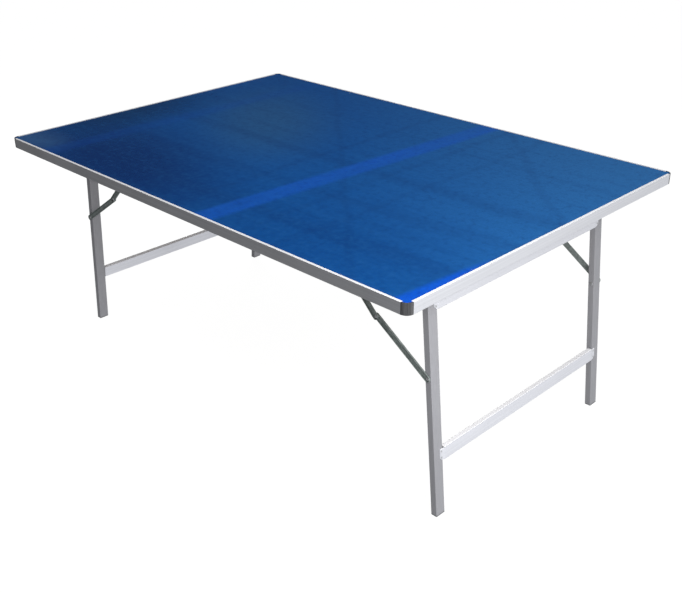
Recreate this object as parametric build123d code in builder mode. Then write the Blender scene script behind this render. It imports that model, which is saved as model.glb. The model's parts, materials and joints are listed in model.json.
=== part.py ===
from build123d import *
from math import cos, hypot, radians, sin, tan
import os

os.makedirs("parts", exist_ok=True)

# Folding table tennis table.  Millimetres, +Z up, origin on the floor under the middle of the top.
# X runs along the long edges, Y along the short edges.
# side is +1 for the right end (+X) and -1 for the left end; row is -1 at the front and +1 at the rear.

# Top
TOP_LENGTH = 1815.0
TOP_WIDTH = 1230.0
TOP_HEIGHT = 760.0
BOARD_THICKNESS = 12.0
FIELD_RISE = 0.5
CORNER_RADIUS = 22.0

# Edge rail section
RAIL_HEIGHT = 33.0
RAIL_WALL = 1.8
RAIL_EDGE_RADIUS = 1.2
LIP_WIDTH = 8.0
LIP_THICKNESS = 1.5
SHELF_DEPTH = 15.0
SHELF_THICKNESS = 1.5
FLANGE_DEPTH = 12.0
FIT_GAP = 0.2
CAP_LIP = 3.0
CAP_RIB_COUNT = 7
CAP_GROOVE_RADIUS = 0.8

# Leg frames
LEG_X = 20.0
LEG_Y = 35.0
LEG_WALL = 1.5
LEG_EDGE_RADIUS = 1.5
LEG_OUTER_Y = 410.0
LEG_SPLAY = 5.226
HINGE_X = 780.9
HINGE_Z = 728.0
LEG_TOP_OVERRUN = 9.0
FOOT_PLUG_HEIGHT = 4.0
PLUG_DEPTH = 18.0
TOP_PLUG_DEPTH = 3.0

# Crossbars: rectangular tube with end tabs lapped on the legs' outer faces
BAR_HEIGHT = 40.0
BAR_DEPTH = 16.0
BAR_GAUGE = 1.6
BAR_PROUD = 3.0
BAR_EDGE_RADIUS = 2.0
BAR_END_GAP = 5.0
BAR_TAB = 12.0
TAB_CORNER = 8.0
UPPER_BAR_TOP_Z = 661.0
STRETCHER_TOP_Z = 210.0

# Pins, bolts and rivets
PIN_RADIUS = 3.0
PIN_CLEARANCE = 0.08
SIDE_GAP = 0.3
HEAD_RADIUS = 5.5
SHOULDER_RADIUS = 5.0
BOLT_HEAD_HEIGHT = 4.0
NUT_HEIGHT = 5.0
HEX_RADIUS = 5.7
SCREW_RADIUS = 1.8
SCREW_HEAD_RADIUS = 3.6
SCREW_HEAD_HEIGHT = 1.8
SCREW_LENGTH = 10.0
HINGE_SCREW_LENGTH = 15.0
RIVET_RADIUS = 1.6
RIVET_HEAD_RADIUS = 3.2
RIVET_HEAD_HEIGHT = 1.2
RIVET_SET_RADIUS = 2.4
RIVET_SET_HEIGHT = 1.5
RIVET_PITCH = 20.0
RIVET_Y = 381.0

# Bearers under the board and the hinge lugs on them
LUG_THICKNESS = 2.5
LUG_WIDTH = 28.0
LUG_FOOT = 22.0
LUG_GAP = 0.4
BEARER_WIDTH = 70.0
BEARER_THICKNESS = 4.0
HAT_HALF_CROWN = 20.0
HAT_HALF_WIDTH = 36.0
HAT_GAUGE = 1.6
HAT_DEPTH = 17.0

# Stays
STAY_WIDTH = 18.0
STAY_GAUGE = 1.5
STAY_DEPTH = 5.0
STAY_LEG_GAP = 1.0
STAY_PIVOT_DROP = 298.0
LOWER_STAY_LENGTH = 217.6
LOWER_STAY_ANGLE = 33.7
PIVOT_HEAD = 1.6
BRACKET_WIDTH = 26.0
BRACKET_FOOT = 22.0
BRACKET_GAUGE = 2.2

SIDES = ((1, "right"), (-1, "left"))
ROWS = ((-1, "front"), (1, "rear"))

# Levels that follow from the sizes above
RAIL_BOTTOM = TOP_HEIGHT - RAIL_HEIGHT
BOARD_TOP = TOP_HEIGHT - LIP_THICKNESS
BOARD_BOTTOM = BOARD_TOP - BOARD_THICKNESS
BEARER_BOTTOM = BOARD_BOTTOM - BEARER_THICKNESS
LEG_INNER_Y = LEG_OUTER_Y - LEG_Y
SPLAY = radians(LEG_SPLAY)
INWARD_REACH = TOP_WIDTH / 2 - SHELF_DEPTH - FIT_GAP

# The stay closes flat: with the frame folded, the knuckle, the leg pivot and the bracket pivot
# lie in one line at the hinge's height.
LEG_PIVOT_X = HINGE_X + STAY_PIVOT_DROP * sin(SPLAY)
LEG_PIVOT_Z = HINGE_Z - STAY_PIVOT_DROP * cos(SPLAY)
KNUCKLE_X = LEG_PIVOT_X - LOWER_STAY_LENGTH * cos(radians(LOWER_STAY_ANGLE))
KNUCKLE_Z = LEG_PIVOT_Z + LOWER_STAY_LENGTH * sin(radians(LOWER_STAY_ANGLE))
FOLDED_PIVOT_X = HINGE_X - STAY_PIVOT_DROP
CLOSING_SUM = LOWER_STAY_LENGTH + FOLDED_PIVOT_X
KNUCKLE_DROP = HINGE_Z - KNUCKLE_Z
BRACKET_X = (CLOSING_SUM**2 - KNUCKLE_X**2 - KNUCKLE_DROP**2) / (2 * (CLOSING_SUM - KNUCKLE_X))

# Layers of the stay hardware, as distances from the table's middle along Y
LOWER_WEB_IN = LEG_OUTER_Y + STAY_LEG_GAP
LOWER_WEB_OUT = LOWER_WEB_IN + STAY_GAUGE
LOWER_RIM = LOWER_WEB_IN + STAY_DEPTH
UPPER_WEB_IN = LOWER_RIM + SIDE_GAP
UPPER_WEB_OUT = UPPER_WEB_IN + STAY_GAUGE
UPPER_RIM = UPPER_WEB_IN + STAY_DEPTH
BRACKET_CHEEK_OUT = UPPER_WEB_IN - SIDE_GAP
BRACKET_CHEEK_IN = BRACKET_CHEEK_OUT - BRACKET_GAUGE
SCREW_TIP_Z = BEARER_BOTTOM - LUG_THICKNESS + HINGE_SCREW_LENGTH


def save(part, name):
    part.label = name
    export_step(part, f"parts/{name}.step")


def frame_plane(side, y=0.0):
    # Local x points out of the frame, local y up along the leg, from the hinge axis.
    return Plane(
        origin=(side * HINGE_X, y, HINGE_Z),
        x_dir=(side * cos(SPLAY), 0, sin(SPLAY)),
        z_dir=(0, -side, 0),
    )


def leg_plane(side, row):
    # Looks down the leg from its top end; local x runs along Y.
    leg_y = row * (LEG_OUTER_Y - LEG_Y / 2)
    top = (
        side * (HINGE_X - LEG_TOP_OVERRUN * sin(SPLAY)),
        leg_y,
        HINGE_Z + LEG_TOP_OVERRUN * cos(SPLAY),
    )
    return Plane(origin=top, x_dir=(0, 1, 0), z_dir=(side * sin(SPLAY), 0, -cos(SPLAY)))


def cross_plane(x, z, y):
    # A plane facing +Y with its origin at a pin's centre.
    return Plane(origin=(x, y, z), x_dir=(1, 0, 0), z_dir=(0, 1, 0))


def rail_outline(reach, sign, lip, lower_flange=FLANGE_DEPTH):
    # Section of an edge rail: outer wall, lip over the board, shelf under it and lower flange.
    points = [
        (0, RAIL_BOTTOM),
        (0, TOP_HEIGHT),
        (lip, TOP_HEIGHT),
        (lip, BOARD_TOP),
        (RAIL_WALL, BOARD_TOP),
        (RAIL_WALL, BOARD_BOTTOM),
        (SHELF_DEPTH, BOARD_BOTTOM),
        (SHELF_DEPTH, BOARD_BOTTOM - SHELF_THICKNESS),
        (RAIL_WALL, BOARD_BOTTOM - SHELF_THICKNESS),
        (RAIL_WALL, RAIL_BOTTOM + RAIL_WALL),
        (lower_flange, RAIL_BOTTOM + RAIL_WALL),
        (lower_flange, RAIL_BOTTOM),
    ]
    return [(sign * (reach - inward), z) for inward, z in points]


def rail_screw_points():
    # Screws through the rail shelves, on a line just inside the outer faces.
    line = 9.0
    long_step = 280.0
    end_step = 260.0
    points = []
    for row, _ in ROWS:
        for index in range(6):
            points.append(((index - 2.5) * long_step, row * (TOP_WIDTH / 2 - line)))
    for side, _ in SIDES:
        for index in range(4):
            points.append((side * (TOP_LENGTH / 2 - line), (index - 1.5) * end_step))
    return points


def lug_screw_points():
    # Two screws in the foot of each hinge lug.
    half_pitch = 9.0
    points = []
    for side, _ in SIDES:
        for row, _ in ROWS:
            for foot_y in lug_foot_centres():
                for step in (-1, 1):
                    points.append((side * (HINGE_X + step * half_pitch), row * foot_y))
    return points


def lug_foot_centres():
    outer = LEG_OUTER_Y + LUG_GAP + LUG_THICKNESS + LUG_FOOT / 2
    inner = LEG_INNER_Y - LUG_GAP - LUG_THICKNESS - LUG_FOOT / 2
    return outer, inner


def bracket_screw_points():
    half_pitch = 7.5
    foot_y = BRACKET_CHEEK_OUT + BRACKET_FOOT - 7.0
    points = []
    for side, _ in SIDES:
        for row, _ in ROWS:
            for step in (-1, 1):
                points.append((side * (BRACKET_X + step * half_pitch), row * foot_y))
    return points


def hat_screw_points():
    flange_mid = (HAT_HALF_CROWN + HAT_HALF_WIDTH) / 2
    pitch = 230.0
    points = []
    for step in (-1, 1):
        for index in range(5):
            points.append((step * flange_mid, (index - 2) * pitch))
    return points


def bearer_screw_points():
    half_pitch = 25.0
    reach = 560.0
    points = []
    for side, _ in SIDES:
        for y in (-reach, 0.0, reach):
            for step in (-1, 1):
                points.append((side * (HINGE_X + step * half_pitch), y))
    return points


def pan_screws(seats, length):
    # Screws pointing up: each seat is (level under the heads, points).
    with BuildPart() as screws:
        for seat_z, points in seats:
            with BuildSketch(Plane.XY.offset(seat_z - SCREW_HEAD_HEIGHT)):
                with Locations(*points):
                    Circle(SCREW_HEAD_RADIUS)
            extrude(amount=SCREW_HEAD_HEIGHT)
            with BuildSketch(Plane.XY.offset(seat_z)):
                with Locations(*points):
                    Circle(SCREW_RADIUS)
            extrude(amount=length)
    return screws.part


def make_board():
    # The faced field stands a little above the edge strip that the rails' lips cover.
    field_inset = LIP_WIDTH + FIT_GAP
    length = TOP_LENGTH - 2 * RAIL_WALL - 2 * FIT_GAP
    width = TOP_WIDTH - 2 * RAIL_WALL - 2 * FIT_GAP
    holes = rail_screw_points() + lug_screw_points() + bracket_screw_points()
    holes += hat_screw_points() + bearer_screw_points()
    with BuildPart() as board:
        with BuildSketch(Plane.XY.offset(BOARD_BOTTOM)):
            RectangleRounded(length, width, CORNER_RADIUS - RAIL_WALL - FIT_GAP)
        extrude(amount=BOARD_THICKNESS)
        with BuildSketch(Plane.XY.offset(BOARD_TOP)):
            RectangleRounded(
                TOP_LENGTH - 2 * field_inset, TOP_WIDTH - 2 * field_inset, CORNER_RADIUS - field_inset
            )
        extrude(amount=FIELD_RISE)
        with BuildSketch(Plane.XY.offset(BOARD_BOTTOM)):
            with Locations(*holes):
                Circle(SCREW_RADIUS)
        extrude(amount=SCREW_TIP_Z - BOARD_BOTTOM, mode=Mode.SUBTRACT)
    return board.part


def round_outer_corners(section, sign):
    # Rounds the section's two corners on the outer wall.
    outermost = -1 if sign > 0 else 0
    fillet(section.vertices().group_by(Axis.X)[outermost], RAIL_EDGE_RADIUS)


def make_long_rail(row):
    length = TOP_LENGTH - 2 * CORNER_RADIUS
    shelf_holes = [point for point in rail_screw_points() if abs(point[0]) < length / 2]
    with BuildPart() as rail:
        with BuildSketch(Plane.YZ) as section:
            with BuildLine():
                Polyline(*rail_outline(TOP_WIDTH / 2, row, LIP_WIDTH), close=True)
            make_face()
            round_outer_corners(section, row)
        extrude(amount=length / 2, both=True)
        with BuildSketch(Plane.XY.offset(BOARD_BOTTOM)):
            with Locations(*shelf_holes):
                Circle(SCREW_RADIUS)
        extrude(amount=-SHELF_THICKNESS, mode=Mode.SUBTRACT)
    return rail.part


def make_end_rail(side):
    length = TOP_WIDTH - 2 * CORNER_RADIUS
    shelf_holes = [point for point in rail_screw_points() if abs(point[1]) < length / 2]
    with BuildPart() as rail:
        with BuildSketch(Plane.XZ) as section:
            with BuildLine():
                Polyline(*rail_outline(TOP_LENGTH / 2, side, LIP_WIDTH), close=True)
            make_face()
            round_outer_corners(section, side)
        extrude(amount=length / 2, both=True)
        with BuildSketch(Plane.XY.offset(BOARD_BOTTOM)):
            with Locations(*shelf_holes):
                Circle(SCREW_RADIUS)
        extrude(amount=-SHELF_THICKNESS, mode=Mode.SUBTRACT)
    return rail.part


def make_corner_cap(side, row):
    # A quarter turn of the rail's section with a narrow lip and shallow upright grooves.
    centre_x = side * (TOP_LENGTH / 2 - CORNER_RADIUS)
    centre_y = row * (TOP_WIDTH / 2 - CORNER_RADIUS)
    upright = Plane(origin=(centre_x, centre_y, 0), x_dir=(side, 0, 0), z_dir=(0, -side, 0))
    turn = Axis((centre_x, centre_y, 0), (0, 0, side * row))
    groove_angles = [90.0 * (index + 1) / (CAP_RIB_COUNT + 1) for index in range(CAP_RIB_COUNT)]
    groove_centre = CORNER_RADIUS + CAP_GROOVE_RADIUS / 2
    groove_points = []
    for angle in groove_angles:
        groove_x = centre_x + side * groove_centre * cos(radians(angle))
        groove_y = centre_y + row * groove_centre * sin(radians(angle))
        groove_points.append((groove_x, groove_y))
    with BuildPart() as cap:
        with BuildSketch(upright) as section:
            with BuildLine():
                Polyline(*rail_outline(CORNER_RADIUS, 1, CAP_LIP), close=True)
            make_face()
            round_outer_corners(section, 1)
        revolve(axis=turn, revolution_arc=90)
        with BuildSketch(Plane.XY.offset(RAIL_BOTTOM)):
            with Locations(*groove_points):
                Circle(CAP_GROOVE_RADIUS)
        extrude(amount=RAIL_HEIGHT - LIP_THICKNESS, mode=Mode.SUBTRACT)
    return cap.part


def make_center_bearer():
    # Top-hat section across the middle, hung under the board.
    low = BOARD_BOTTOM - HAT_DEPTH
    left_half = [
        (-HAT_HALF_WIDTH, BOARD_BOTTOM),
        (-HAT_HALF_WIDTH, BOARD_BOTTOM - HAT_GAUGE),
        (-HAT_HALF_CROWN, BOARD_BOTTOM - HAT_GAUGE),
        (-HAT_HALF_CROWN, low),
    ]
    inner_half = [
        (-HAT_HALF_CROWN + HAT_GAUGE, low + HAT_GAUGE),
        (-HAT_HALF_CROWN + HAT_GAUGE, BOARD_BOTTOM),
    ]
    outline = left_half + [(-x, z) for x, z in reversed(left_half)]
    outline += [(-x, z) for x, z in reversed(inner_half)] + inner_half
    with BuildPart() as bearer:
        with BuildSketch(Plane.XZ):
            with BuildLine():
                Polyline(*outline, close=True)
            make_face()
        extrude(amount=INWARD_REACH, both=True)
        with BuildSketch(Plane.XY.offset(BOARD_BOTTOM)):
            with Locations(*hat_screw_points()):
                Circle(SCREW_RADIUS)
        extrude(amount=-HAT_GAUGE, mode=Mode.SUBTRACT)
    return bearer.part


def make_hinge_bearer(side):
    # Flat bar under the board that carries the hinge lugs.
    holes = lug_screw_points() + bearer_screw_points()
    holes = [point for point in holes if point[0] * side > 0]
    with BuildPart() as bearer:
        with BuildSketch(Plane.XY.offset(BEARER_BOTTOM)):
            with Locations((side * HINGE_X, 0)):
                Rectangle(BEARER_WIDTH, 2 * INWARD_REACH)
            with Locations(*holes):
                Circle(SCREW_RADIUS, mode=Mode.SUBTRACT)
        extrude(amount=BEARER_THICKNESS)
    return bearer.part


def make_hinge_lugs(side, row):
    # A pair of bent steel angles, one on each side of the leg.
    drop = BEARER_BOTTOM - HINGE_Z
    half = LUG_WIDTH / 2
    cheeks = (
        (LEG_OUTER_Y + LUG_GAP, 1),
        (LEG_INNER_Y - LUG_GAP, -1),
    )
    screw_holes = [p for p in lug_screw_points() if p[0] * side > 0 and p[1] * row > 0]
    with BuildPart() as lugs:
        for near_face, outward in cheeks:
            with BuildSketch(cross_plane(side * HINGE_X, HINGE_Z, row * near_face)):
                with Locations((0, -drop / 2)):
                    Rectangle(LUG_WIDTH, drop)
                Circle(half)
                Circle(PIN_RADIUS + PIN_CLEARANCE, mode=Mode.SUBTRACT)
            extrude(amount=row * outward * LUG_THICKNESS)
            foot_y = row * (near_face + outward * (LUG_THICKNESS + LUG_FOOT) / 2)
            with BuildSketch(Plane.XY.offset(BEARER_BOTTOM)):
                with Locations((side * HINGE_X, foot_y)):
                    Rectangle(LUG_WIDTH, LUG_THICKNESS + LUG_FOOT)
            extrude(amount=-LUG_THICKNESS)
        with BuildSketch(Plane.XY.offset(BEARER_BOTTOM)):
            with Locations(*screw_holes):
                Circle(SCREW_RADIUS)
        extrude(amount=-LUG_THICKNESS, mode=Mode.SUBTRACT)
    return lugs.part


def bar_plane(side, top_z):
    # On the legs' outer face at mid-height of a crossbar; local x runs along Y, local y up the leg.
    reach = LEG_X / 2
    along = (HINGE_Z - top_z + (reach + BAR_PROUD) * sin(SPLAY)) / cos(SPLAY) + BAR_HEIGHT / 2
    origin = (
        side * (HINGE_X + reach * cos(SPLAY) + along * sin(SPLAY)),
        0,
        HINGE_Z + reach * sin(SPLAY) - along * cos(SPLAY),
    )
    return Plane(origin=origin, x_dir=(0, side, 0), z_dir=(side * cos(SPLAY), 0, sin(SPLAY)))


def tab_rivet_points():
    # Two rivets in each end tab, measured on the bar's own plane.
    return [(end * RIVET_Y, step * RIVET_PITCH / 2) for end in (-1, 1) for step in (-1, 1)]


def make_leg(side, row):
    # Rectangular tube, cut level above its foot plug.
    length = (HINGE_Z + LEG_X) / cos(SPLAY) + LEG_TOP_OVERRUN
    bore = (LEG_Y - 2 * LEG_WALL, LEG_X - 2 * LEG_WALL)
    pivots = ((side * HINGE_X, HINGE_Z), (side * LEG_PIVOT_X, LEG_PIVOT_Z))
    with BuildPart() as leg:
        with BuildSketch(leg_plane(side, row)):
            RectangleRounded(LEG_Y, LEG_X, LEG_EDGE_RADIUS)
            RectangleRounded(*bore, LEG_EDGE_RADIUS / 2, mode=Mode.SUBTRACT)
        extrude(amount=length)
        split(bisect_by=Plane.XY.offset(FOOT_PLUG_HEIGHT), keep=Keep.TOP)
        for x, z in pivots:
            with BuildSketch(cross_plane(x, z, row * LEG_INNER_Y)):
                Circle(PIN_RADIUS + PIN_CLEARANCE)
            extrude(amount=row * LEG_Y, mode=Mode.SUBTRACT)
        for top_z in (UPPER_BAR_TOP_Z, STRETCHER_TOP_Z):
            with BuildSketch(bar_plane(side, top_z)):
                with Locations(*tab_rivet_points()):
                    Circle(RIVET_RADIUS)
            extrude(amount=-LEG_WALL, mode=Mode.SUBTRACT)
    return leg.part


def make_foot_plug(side, row):
    # Moulded plug: a level pad on the floor and a stem up inside the tube.
    lean = (-side * sin(SPLAY), 0, cos(SPLAY))
    pad_x = side * (HINGE_X + HINGE_Z * tan(SPLAY))
    seat_x = pad_x - side * FOOT_PLUG_HEIGHT * tan(SPLAY)
    leg_y = row * (LEG_OUTER_Y - LEG_Y / 2)
    stem_gap = 2 * LEG_WALL + FIT_GAP
    with BuildPart() as plug:
        with BuildSketch(Plane.XY):
            with Locations((pad_x, leg_y)):
                RectangleRounded(LEG_X / cos(SPLAY), LEG_Y, LEG_EDGE_RADIUS)
        extrude(amount=FOOT_PLUG_HEIGHT / cos(SPLAY), dir=lean)
        with BuildSketch(Plane.XY.offset(FOOT_PLUG_HEIGHT)):
            with Locations((seat_x, leg_y)):
                RectangleRounded(
                    (LEG_X - stem_gap) / cos(SPLAY), LEG_Y - stem_gap, LEG_EDGE_RADIUS / 2
                )
        extrude(amount=PLUG_DEPTH, dir=lean)
    return plug.part


def make_top_plugs(side):
    # Flush plugs in the two legs' top ends.
    stem_gap = 2 * LEG_WALL + FIT_GAP
    with BuildPart() as plugs:
        for row, _ in ROWS:
            with BuildSketch(leg_plane(side, row)):
                RectangleRounded(LEG_Y - stem_gap, LEG_X - stem_gap, LEG_EDGE_RADIUS / 2)
            extrude(amount=TOP_PLUG_DEPTH)
    return plugs.part


def make_crossbar(side, top_z):
    # Rectangular tube whose outer wall runs on past both ends as tabs joggled onto the legs.
    face = bar_plane(side, top_z)
    mid_depth = BAR_PROUD - BAR_DEPTH / 2
    end_y = LEG_INNER_Y - BAR_END_GAP
    tab_end = LEG_INNER_Y + BAR_TAB
    tab_start = LEG_INNER_Y + 1.0
    flat = BAR_HEIGHT - 2 * BAR_EDGE_RADIUS
    corner_z = TAB_CORNER - flat / 2
    bore = (BAR_HEIGHT - 2 * BAR_GAUGE, BAR_DEPTH - 2 * BAR_GAUGE)
    section = Plane(
        origin=face.origin + face.z_dir * mid_depth, x_dir=face.y_dir, z_dir=face.x_dir
    )
    plan = Plane(origin=face.origin - face.y_dir * flat / 2, x_dir=face.x_dir, z_dir=face.y_dir)
    lip_plan = Plane(
        origin=face.origin + face.y_dir * (flat / 2 - BAR_GAUGE), x_dir=face.x_dir, z_dir=face.y_dir
    )
    # The plan sketches' local y points into the frame.
    outer = -BAR_PROUD
    with BuildPart() as bar:
        with BuildSketch(section):
            RectangleRounded(BAR_HEIGHT, BAR_DEPTH, BAR_EDGE_RADIUS)
            RectangleRounded(*bore, BAR_EDGE_RADIUS / 4, mode=Mode.SUBTRACT)
        extrude(amount=end_y, both=True)
        for end in (-1, 1):
            with BuildSketch(plan):
                with BuildLine():
                    Polyline(
                        (end * end_y, outer),
                        (end * end_y, outer + BAR_GAUGE),
                        (end * tab_start, 0),
                        (end * tab_start, -BAR_GAUGE),
                        close=True,
                    )
                make_face()
            extrude(amount=flat)
            with BuildSketch(face):
                with BuildLine():
                    Line((end * tab_start, -flat / 2), (end * (tab_end - TAB_CORNER), -flat / 2))
                    Line((end * (tab_end - TAB_CORNER), -flat / 2), (end * tab_end, corner_z))
                    Line((end * tab_end, corner_z), (end * tab_end, flat / 2))
                    Line((end * tab_end, flat / 2), (end * tab_start, flat / 2))
                    Line((end * tab_start, flat / 2), (end * tab_start, -flat / 2))
                make_face()
            extrude(amount=BAR_GAUGE)
            with BuildSketch(lip_plan):
                with BuildLine():
                    Polyline(
                        (end * end_y, outer),
                        (end * end_y, outer + BAR_GAUGE),
                        (end * tab_start, 0),
                        (end * (tab_end - 1.0), 0),
                        (end * (tab_end - 1.0), outer),
                        close=True,
                    )
                make_face()
            extrude(amount=BAR_GAUGE)
        with BuildSketch(face):
            with Locations(*tab_rivet_points()):
                Circle(RIVET_RADIUS)
        extrude(amount=BAR_GAUGE, mode=Mode.SUBTRACT)
    return bar.part


def make_tab_rivets(side):
    # Blind rivets: dome outside the tab, shank through tab and tube wall, set end inside.
    layers = (
        (BAR_GAUGE, RIVET_HEAD_RADIUS, RIVET_HEAD_HEIGHT),
        (-LEG_WALL, RIVET_RADIUS, BAR_GAUGE + LEG_WALL),
        (-LEG_WALL - RIVET_SET_HEIGHT, RIVET_SET_RADIUS, RIVET_SET_HEIGHT),
    )
    with BuildPart() as rivets:
        for top_z in (UPPER_BAR_TOP_Z, STRETCHER_TOP_Z):
            for level, radius, height in layers:
                with BuildSketch(bar_plane(side, top_z).offset(level)):
                    with Locations(*tab_rivet_points()):
                        Circle(radius)
                extrude(amount=height)
    return rivets.part


def make_hinge_bolts():
    # One through each pair of lugs and the leg between them.
    lug_out = LEG_OUTER_Y + LUG_GAP + LUG_THICKNESS
    lug_in = LEG_INNER_Y - LUG_GAP - LUG_THICKNESS
    with BuildPart() as bolts:
        for side, _ in SIDES:
            for row, _ in ROWS:
                with BuildSketch(cross_plane(side * HINGE_X, HINGE_Z, row * lug_out)):
                    RegularPolygon(HEX_RADIUS, 6)
                extrude(amount=row * BOLT_HEAD_HEIGHT)
                with BuildSketch(cross_plane(side * HINGE_X, HINGE_Z, row * lug_out)):
                    Circle(PIN_RADIUS)
                extrude(amount=-row * (lug_out - lug_in + NUT_HEIGHT + 1.0))
    return bolts.part


def make_hinge_nuts():
    lug_in = LEG_INNER_Y - LUG_GAP - LUG_THICKNESS
    with BuildPart() as nuts:
        for side, _ in SIDES:
            for row, _ in ROWS:
                with BuildSketch(cross_plane(side * HINGE_X, HINGE_Z, row * lug_in)):
                    RegularPolygon(HEX_RADIUS, 6)
                    Circle(PIN_RADIUS, mode=Mode.SUBTRACT)
                extrude(amount=-row * NUT_HEIGHT)
    return nuts.part


def make_stay_bracket(side, row):
    # Bent angle under the board: a foot with two screws and a cheek with the stay's pivot.
    drop = BOARD_BOTTOM - HINGE_Z
    foot_y = row * (BRACKET_CHEEK_IN + BRACKET_FOOT / 2)
    holes = [p for p in bracket_screw_points() if p[0] * side > 0 and p[1] * row > 0]
    with BuildPart() as bracket:
        with BuildSketch(cross_plane(side * BRACKET_X, HINGE_Z, row * BRACKET_CHEEK_IN)):
            with Locations((0, -drop / 2)):
                Rectangle(BRACKET_WIDTH, drop)
            Circle(BRACKET_WIDTH / 2)
            Circle(PIN_RADIUS, mode=Mode.SUBTRACT)
        extrude(amount=row * BRACKET_GAUGE)
        with BuildSketch(Plane.XY.offset(BOARD_BOTTOM)):
            with Locations((side * BRACKET_X, foot_y)):
                Rectangle(BRACKET_WIDTH, BRACKET_FOOT)
            with Locations(*holes):
                Circle(SCREW_RADIUS, mode=Mode.SUBTRACT)
        extrude(amount=-BRACKET_GAUGE)
    return bracket.part


def make_pins(places, steps):
    # Turned or headed pins along Y: each step is (radius, inner distance, outer distance).
    with BuildPart() as pins:
        for x, z, row in places:
            for radius, y_in, y_out in steps:
                with BuildSketch(cross_plane(x, z, row * y_in)):
                    Circle(radius)
                extrude(amount=row * (y_out - y_in))
    return pins.part


def make_stay_arm(pivot, knuckle, row, web_in):
    # Pressed tray with rounded ends, open away from the leg.  It turns on a pin at its pivot and
    # holds its half of the rivet at the knuckle.
    length = hypot(knuckle[0] - pivot[0], knuckle[1] - pivot[1])
    direction = ((knuckle[0] - pivot[0]) / length, 0, (knuckle[1] - pivot[1]) / length)
    middle = ((pivot[0] + knuckle[0]) / 2, (pivot[1] + knuckle[1]) / 2)

    def strip_plane(y):
        return Plane(origin=(middle[0], row * y, middle[1]), x_dir=direction, z_dir=(0, 1, 0))

    with BuildPart() as arm:
        with BuildSketch(strip_plane(web_in)):
            SlotCenterToCenter(length, STAY_WIDTH)
        extrude(amount=row * STAY_DEPTH)
        with BuildSketch(strip_plane(web_in + STAY_GAUGE)):
            SlotCenterToCenter(length, STAY_WIDTH - 2 * STAY_GAUGE)
        extrude(amount=row * (STAY_DEPTH - STAY_GAUGE), mode=Mode.SUBTRACT)
        with BuildSketch(strip_plane(web_in)):
            with Locations((-length / 2, 0)):
                Circle(PIN_RADIUS + PIN_CLEARANCE)
            with Locations((length / 2, 0)):
                Circle(PIN_RADIUS)
        extrude(amount=row * STAY_GAUGE, mode=Mode.SUBTRACT)
    return arm.part


def make_board_screws():
    # Pan-head screws up through rails, brackets and bearers into the board.
    seats = (
        (BOARD_BOTTOM - SHELF_THICKNESS, rail_screw_points()),
        (BOARD_BOTTOM - BRACKET_GAUGE, bracket_screw_points()),
        (BOARD_BOTTOM - HAT_GAUGE, hat_screw_points()),
        (BEARER_BOTTOM, bearer_screw_points()),
    )
    return pan_screws(seats, SCREW_LENGTH)


def make_hinge_screws():
    # Longer screws through the hinge lugs and the bearer.
    return pan_screws(((BEARER_BOTTOM - LUG_THICKNESS, lug_screw_points()),), HINGE_SCREW_LENGTH)


save(make_board(), "board")
save(make_center_bearer(), "center_bearer")
save(make_board_screws(), "board_screws")
save(make_hinge_screws(), "hinge_screws")
save(make_hinge_bolts(), "hinge_bolts")
save(make_hinge_nuts(), "hinge_nuts")

bracket_pivots = [(side * BRACKET_X, HINGE_Z, row) for side, _ in SIDES for row, _ in ROWS]
bracket_steps = (
    (HEAD_RADIUS, BRACKET_CHEEK_IN - BOLT_HEAD_HEIGHT / 2, BRACKET_CHEEK_IN),
    (PIN_RADIUS, BRACKET_CHEEK_IN, UPPER_WEB_OUT + SIDE_GAP),
    (HEAD_RADIUS, UPPER_WEB_OUT + SIDE_GAP, UPPER_WEB_OUT + SIDE_GAP + PIVOT_HEAD),
)
save(make_pins(bracket_pivots, bracket_steps), "stay_bracket_pins")

leg_steps = (
    (HEAD_RADIUS, LEG_INNER_Y - PIVOT_HEAD, LEG_INNER_Y),
    (PIN_RADIUS, LEG_INNER_Y, LEG_OUTER_Y),
    (SHOULDER_RADIUS, LEG_OUTER_Y, LOWER_WEB_IN - SIDE_GAP),
    (PIN_RADIUS, LOWER_WEB_IN - SIDE_GAP, LOWER_WEB_OUT + SIDE_GAP),
    (HEAD_RADIUS, LOWER_WEB_OUT + SIDE_GAP, LOWER_WEB_OUT + SIDE_GAP + PIVOT_HEAD),
)
upper_knuckle_steps = (
    (PIN_RADIUS, UPPER_WEB_IN, UPPER_WEB_OUT),
    (HEAD_RADIUS, UPPER_WEB_OUT, UPPER_WEB_OUT + PIVOT_HEAD),
)
lower_knuckle_steps = (
    (PIN_RADIUS, LOWER_WEB_IN, LOWER_WEB_OUT),
    (SHOULDER_RADIUS, LOWER_WEB_OUT, LOWER_RIM),
)

for row, row_name in ROWS:
    save(make_long_rail(row), f"{row_name}_rail")

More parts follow.
